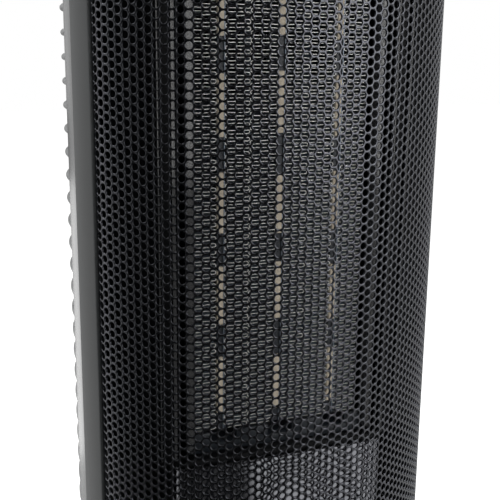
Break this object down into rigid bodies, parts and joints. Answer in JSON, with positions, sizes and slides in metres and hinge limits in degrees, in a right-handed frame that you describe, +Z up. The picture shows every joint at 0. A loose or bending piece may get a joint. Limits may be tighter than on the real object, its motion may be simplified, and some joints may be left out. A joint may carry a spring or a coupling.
{
  "type": "tower fan heater",
  "caption": "Tower fan heater on a round swinging base, with a curved perforated front, a ribbed rear shell, a ceramic heater pack, a crossflow blower and a flame effect unit below.",
  "frame": {"origin": "middle of the round base, on the surface the heater stands on", "axes": "+Z up along the swing axis, front grille faces -Y, +X to the right seen from the front"},
  "size_m": [0.232, 0.232, 0.6],
  "materials": {
    "grille_steel": "satin black powder coat on perforated steel",
    "trim_paint": "satin dark grey metallic",
    "grey_satin": "satin grey, moulded",
    "base_gloss": "gloss black, moulded",
    "black_satin": "satin black, moulded",
    "panel_gloss": "piano black",
    "smoked": "smoked clear plastic",
    "screen_gloss": "smoked acrylic, polished",
    "button_plastic": "fine satin",
    "rubber": "matt black",
    "nylon": "natural nylon",
    "motor_steel": "zinc plated",
    "fin_aluminium": "rolled, folded fins",
    "ceramic": "matt fired ceramic",
    "bright_foil": "bright foil",
    "filter_mesh": "black nylon mesh",
    "circuit": "green solder mask"
  },
  "bodies": {
    "base": {"base_plate": "black_satin", "base_cover": "base_gloss", "foot_front_left": "rubber", "foot_front_right": "rubber", "foot_rear_left": "rubber", "foot_rear_right": "rubber", "swing_motor": "motor_steel", "thrust_washer": "nylon", "cord_gland": "rubber", "tip_switch": "black_satin"},
    "tip_plunger": {"tip_plunger": "nylon"},
    "swing_pinion": {"swing_pinion": "nylon"},
    "tower": {"sector_gear": "nylon", "tower_hub": "black_satin", "tower_floor": "grey_satin", "rear_shell": "grey_satin", "front_grille": "grille_steel", "trim_left": "trim_paint", "trim_right": "trim_paint", "top_cap": "grey_satin", "control_panel": "panel_gloss", "display_window": "smoked", "control_board": "circuit", "heater_fins_1": "fin_aluminium", "heater_fins_2": "fin_aluminium", "heater_fins_3": "fin_aluminium", "heater_fins_4": "fin_aluminium", "heater_fins_5": "fin_aluminium", "heater_fins_6": "fin_aluminium", "ceramic_strip_1": "ceramic", "ceramic_strip_2": "ceramic", "ceramic_strip_3": "ceramic", "heater_frame_bottom": "black_satin", "heater_frame_top": "black_satin", "duct_left": "black_satin", "duct_right": "black_satin", "mid_shelf": "black_satin", "top_shelf": "black_satin", "blower_scroll": "black_satin", "blower_tongue": "black_satin", "fan_bearing": "motor_steel", "fan_motor": "motor_steel", "intake_filter": "filter_mesh", "thermal_cutout": "nylon", "flame_screen": "screen_gloss", "flame_housing": "black_satin", "flame_mask": "black_satin", "flame_motor": "motor_steel", "lamp_board": "circuit", "power_board": "circuit"},
    "fan_wheel": {"fan_wheel": "black_satin"},
    "flame_spindle": {"flame_spindle": "bright_foil"},
    "button_power": {"button_power": "button_plastic"},
    "button_heat": {"button_heat": "button_plastic"},
    "button_timer": {"button_timer": "button_plastic"},
    "button_swing": {"button_swing": "button_plastic"},
    "button_flame": {"button_flame": "button_plastic"}
  },
  "joints": [
    {"name": "tower_swing", "type": "hinge", "parent": "base", "child": "tower", "pos_m": [0, 0, 0.0437], "axis": [0, 0, 1], "range_deg": [-35, 35]},
    {"name": "pinion_turn", "type": "hinge", "parent": "base", "child": "swing_pinion", "pos_m": [0, 0.0555, 0.0195], "axis": [0, 0, 1], "range_deg": [-150.5, 150.5]},
    {"name": "tip_plunge", "type": "slide", "parent": "base", "child": "tip_plunger", "axis": [0, 0, -1], "range_m": [0, 0.0035], "stiffness_N_per_m": 30, "springref_m": 0.0035},
    {"name": "fan_spin", "type": "hinge", "parent": "tower", "child": "fan_wheel", "pos_m": [-0.004, 0.02, 0.26], "axis": [0, 0, 1], "continuous": true},
    {"name": "flame_turn", "type": "hinge", "parent": "tower", "child": "flame_spindle", "pos_m": [0, -0.006, 0.088], "axis": [1, 0, 0], "continuous": true},
    {"name": "press_power", "type": "slide", "parent": "tower", "child": "button_power", "axis": [0, 0, -1], "range_m": [0, 0.0008], "stiffness_N_per_m": 300},
    {"name": "press_heat", "type": "slide", "parent": "tower", "child": "button_heat", "axis": [0, 0, -1], "range_m": [0, 0.0008], "stiffness_N_per_m": 300},
    {"name": "press_timer", "type": "slide", "parent": "tower", "child": "button_timer", "axis": [0, 0, -1], "range_m": [0, 0.0008], "stiffness_N_per_m": 300},
    {"name": "press_swing", "type": "slide", "parent": "tower", "child": "button_swing", "axis": [0, 0, -1], "range_m": [0, 0.0008], "stiffness_N_per_m": 300},
    {"name": "press_flame", "type": "slide", "parent": "tower", "child": "button_flame", "axis": [0, 0, -1], "range_m": [0, 0.0008], "stiffness_N_per_m": 300}
  ],
  "couplings": [
    {"joint": "pinion_turn", "follows": "tower_swing", "ratio": -4.2857}
  ]
}
